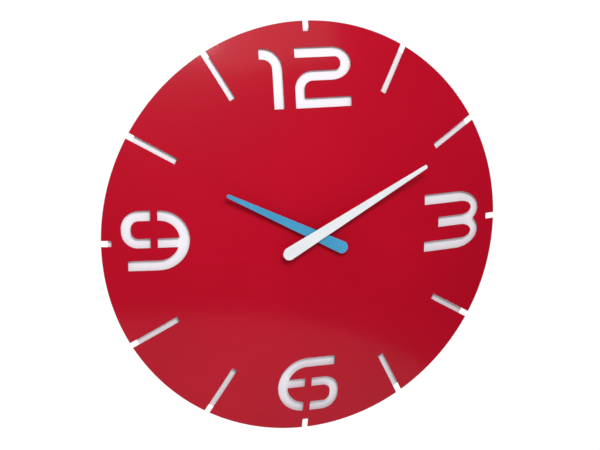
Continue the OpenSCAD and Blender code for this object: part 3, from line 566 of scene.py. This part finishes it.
MATERIALS = {
    "red_paint": red_paint(),
    "zinc_steel": zinc_steel(),
    "white_sheet": white_sheet(),
    "rubber": black_rubber(),
    "brass": turned_metal("turned brass", (0.72, 0.50, 0.19), (0.80, 0.60, 0.28), 0.22),
    "black_plastic": moulded("black moulded plastic", (0.012, 0.012, 0.013), (0.020, 0.020, 0.021), 0.46),
    "pale_plastic": moulded("pale acetal", (0.72, 0.70, 0.62), (0.78, 0.76, 0.69), 0.34, 1500.0, 0.00001),
    "soft_iron": turned_metal("stamped soft iron", (0.42, 0.42, 0.44), (0.52, 0.52, 0.53), 0.34),
    "copper_wire": enamelled_wire(),
    "magnet": turned_metal("plated magnet", (0.30, 0.30, 0.31), (0.40, 0.40, 0.42), 0.26),
    "spring_metal": turned_metal("plated spring strip", (0.66, 0.64, 0.58), (0.76, 0.74, 0.69), 0.24),
    "board_green": circuit_green(),
    "battery_sleeve": cell_sleeve(),
    "white_paint": hand_paint("white hand paint", (0.77, 0.79, 0.81), (0.81, 0.83, 0.85)),
    "blue_paint": hand_paint("sky blue hand paint", (0.048, 0.30, 0.52), (0.058, 0.33, 0.57)),
}
slot_of = {row["node"]: row["material_slot"] for row in frame["record"]["subparts"]}
body_of = {n: body for body, members in frame["record"]["behaviour"]["bodies"].items() for n in members}
for node_name, obj in nodes.items():
    obj.data.materials.clear()
    obj.data.materials.append(MATERIALS[slot_of[node_name]])


def finished(piece, node_name):
    """The piece takes the place, the motion and the material of a CAD node."""
    piece.data.materials.clear()
    piece.data.materials.append(MATERIALS[slot_of[node_name]])
    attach(piece, body_of[node_name])
    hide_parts(node_name)
    return piece


# ---------------------------------------------------------------- dial plate and backing disc
numeral_loops = [moved(loop, *SIX_PLACE) for loop in six_loops(SIX_BRIDGE_X)]
numeral_loops += [moved(loop, *NINE_PLACE, 180) for loop in six_loops(NINE_BRIDGE_X)]
numeral_loops += [moved(three_loop(), *THREE_PLACE)]
numeral_loops += [moved(two_loop(TWO_LEFT_X), *TWELVE_PLACE), moved(one_loop(ONE_RIGHT_X), *TWELVE_PLACE)]
hub_loop = arc(0, 0, HUB_HOLE_R, 0, 350, step=10)
dial = pressed_sheet("dial_sheet", [rim_loop()] + numeral_loops + [hub_loop],
                     dome(BALL_R), SHEET_T, DIAL_GRID)
finished(dial, "dial_plate")

studs = [(STUD_CIRCLE_R * math.sin(math.radians(a)), STUD_CIRCLE_R * math.cos(math.radians(a)))
         for a in (45, 135, 225, 315)]
studs += [(side * HANGER_STUD_X, HANGER_STUD_Z) for side in (-1, 1)]
studs += [(side * FOOT_STUD_X, FOOT_STUD_Z) for side in (-1, 1)]
stud_holes = [arc(x, z, STUD_R, 0, 345, step=15) for x, z in studs]
disc = pressed_sheet("backing_sheet", [arc(0, 0, BACKING_R, 0, 358.5, step=1.5)] + stud_holes
                     + [arc(0, 0, BUSH_HOLE_R, 0, 350, step=10)],
                     dome(BALL_R - SHEET_T - GAP), SHEET_T, BACKING_GRID)
finished(disc, "backing_disc")


# ---------------------------------------------------------------- hands
def hand_loop(length, tail, tip_w, tail_w, clock_angle):
    tip_r, tail_r = tip_w / 2, tail_w / 2
    tip_z, tail_z = length - tip_r, tail_r - tail
    lean = math.degrees(math.asin((tail_r - tip_r) / (tip_z - tail_z)))
    points = arc(0, tip_z, tip_r, lean, 180 - lean, step=15)
    points += arc(0, tail_z, tail_r, 180 - lean, 360 + lean, step=8)
    return moved(points, 0, 0, -clock_angle)


def hand(name, node_name, y, outline, holes):
    piece = pressed_sheet(name, [outline] + holes, flat_front(y), HAND_T, HAND_GRID, edge=HAND_EDGE)
    return finished(piece, node_name)


hand("minute_hand_blade", "minute_hand", MINUTE_FRONT_Y, hand_loop(**MINUTE_HAND), [])
hand("hour_hand_blade", "hour_hand", HOUR_FRONT_Y, hand_loop(**HOUR_HAND),
     [arc(0, 0, HOUR_TUBE_R, 0, 345, step=15)])


# ---------------------------------------------------------------- pieces with softened edges
EDGE_SEGMENTS = 2
SHARP_ANGLE = math.radians(35.0)
FLAT_ANGLE = math.radians(0.5)
SAME_POINT = 1e-6


def softened(node_name, width):
    """A copy of a CAD node whose sharp edges carry a small round, as moulding and tumbling leave."""
    mesh = nodes[node_name].data.copy()
    bm = bmesh.new()
    bm.from_mesh(mesh)
    bmesh.ops.remove_doubles(bm, verts=bm.verts, dist=SAME_POINT)
    bmesh.ops.dissolve_limit(bm, angle_limit=FLAT_ANGLE, verts=bm.verts, edges=bm.edges)
    bm.to_mesh(mesh)
    bm.free()
    piece = bpy.data.objects.new(node_name + "_finished", mesh)
    bpy.context.scene.collection.objects.link(piece)
    bevel = piece.modifiers.new("edge", "BEVEL")
    bevel.width, bevel.segments = width * MM, EDGE_SEGMENTS
    bevel.limit_method, bevel.angle_limit = "ANGLE", SHARP_ANGLE
    bevel.harden_normals = True
    bevel.use_clamp_overlap = True
    mesh.polygons.foreach_set("use_smooth", [True] * len(mesh.polygons))
    mesh.set_sharp_from_angle(angle=SHARP_ANGLE)
    return finished(piece, node_name)


for node_name, width in (("movement_case", 0.35), ("movement_cover", 0.25), ("hanger_plate", 0.2),
                         ("hanger_legs", 0.2), ("wall_feet", 0.8), ("setting_knob", 0.12),
                         ("stud_nuts", 0.2), ("bush_nut", 0.2), ("stud_sleeves", 0.3),
                         ("case_gasket", 0.3), ("battery", 0.25), ("hour_hand_bush", 0.15),
                         ("minute_hand_bush", 0.15)):
    softened(node_name, width)


# ---------------------------------------------------------------- floor, light and camera, in metres
FLOOR_R = 0.70
FLOOR_MIDDLE = (-0.14, -0.34, -0.62)


def stage_floor():
    bm = bmesh.new()
    bmesh.ops.create_circle(bm, cap_ends=True, segments=96, radius=FLOOR_R)
    mesh = bpy.data.meshes.new("pale_floor")
    bm.to_mesh(mesh)
    bm.free()
    floor = bpy.data.objects.new("pale_floor", mesh)
    floor.location = FLOOR_MIDDLE
    bpy.context.scene.collection.objects.link(floor)
    f = Finish("pale floor", IOR=1.45)
    cloud = f.noise(6.0, 4.0)
    f.set(Base_Color=f.mix(cloud, (0.80, 0.80, 0.80), (0.84, 0.84, 0.84)), Roughness=0.7)
    floor.data.materials.append(f.material)


stage_floor()


def softbox(name, place, aim, size, power):
    light = bpy.data.lights.new(name, "AREA")
    light.shape, light.size, light.size_y = "RECTANGLE", size[0], size[1]
    light.energy, light.color = power, (1, 1, 1)
    lamp = bpy.data.objects.new(name, light)
    lamp.location = place
    lamp.rotation_euler = (Vector(aim) - Vector(place)).to_track_quat("-Z", "Y").to_euler()
    bpy.context.scene.collection.objects.link(lamp)


clock_middle = (0, -0.02, AXIS_Z * MM)
softbox("key_box", (-0.19, -0.97, 0.58), (0, -0.02, 0.02), (0.40, 0.32), 9.0)
softbox("fill_card", (-1.15, -1.20, -0.05), clock_middle, (0.9, 0.9), 1.6)
softbox("sheen_card", (0.34, -1.41, 0.655), clock_middle, (0.70, 0.40), 1.5)
softbox("back_box", (0.4, 1.5, 0.9), clock_middle, (1.4, 1.4), 16)
softbox("low_back_box", (-1.2, 1.0, 0.1), clock_middle, (1.0, 1.4), 7)

world = bpy.data.worlds.new("studio")
bpy.context.scene.world = world
world.use_nodes = True
sky = world.node_tree
sky.nodes.clear()


def backdrop(colour, strength):
    shade = sky.nodes.new("ShaderNodeBackground")
    shade.inputs[0].default_value = (*colour, 1)
    shade.inputs[1].default_value = strength
    return shade


def choose(share, first, second):
    mixer = sky.nodes.new("ShaderNodeMixShader")
    sky.links.new(share, mixer.inputs[0])
    sky.links.new(first.outputs[0], mixer.inputs[1])
    sky.links.new(second.outputs[0], mixer.inputs[2])
    return mixer


def spread(source, low, high):
    """0 at low, 1 at high, straight between them."""
    ramp = sky.nodes.new("ShaderNodeMapRange")
    ramp.inputs["From Min"].default_value = low
    ramp.inputs["From Max"].default_value = high
    sky.links.new(source, ramp.inputs["Value"])
    return ramp.outputs[0]


WHITE, COOL_WHITE = (1, 1, 1), (0.96, 0.98, 1.0)
path = sky.nodes.new("ShaderNodeLightPath")
ways = sky.nodes.new("ShaderNodeTexCoord")
split = sky.nodes.new("ShaderNodeSeparateXYZ")
sky.links.new(ways.outputs["Generated"], split.inputs[0])
behind = spread(split.outputs["Y"], -0.35, 0.25)
mirrored = choose(behind, backdrop(WHITE, 0.02), backdrop(WHITE, 0.60))
above = spread(split.outputs["Z"], -0.6, 0.5)
soft = choose(above, backdrop(COOL_WHITE, 0.20), backdrop(COOL_WHITE, 0.50))
around = choose(path.outputs["Is Glossy Ray"], soft, mirrored)
shown = choose(path.outputs["Is Camera Ray"], around, backdrop(WHITE, 1.05))
out = sky.nodes.new("ShaderNodeOutputWorld")
sky.links.new(shown.outputs[0], out.inputs[0])
bpy.context.scene.view_settings.view_transform = "Standard"

LENS, SENSOR_W = 101.685, 36.0
EYE = (-0.46993, -1.31702, 0.22656)
VIEW_AXIS = (0.32672111, 0.9212267, -0.21117452)
VIEW_UP = (0.0701365, 0.19918777, 0.97744826)
camera_data = bpy.data.cameras.new("camera")
camera_data.lens, camera_data.sensor_width = LENS, SENSOR_W
camera_data.clip_start, camera_data.clip_end = 0.05, 50.0
camera = bpy.data.objects.new("camera", camera_data)
bpy.context.scene.collection.objects.link(camera)
forward = Vector(VIEW_AXIS).normalized()
right = forward.cross(Vector(VIEW_UP)).normalized()
up = right.cross(forward)
turned = Matrix((right, up, -forward)).transposed().to_4x4()
camera.matrix_world = Matrix.Translation(EYE) @ turned
bpy.context.scene.camera = camera

bpy.context.view_layer.update()
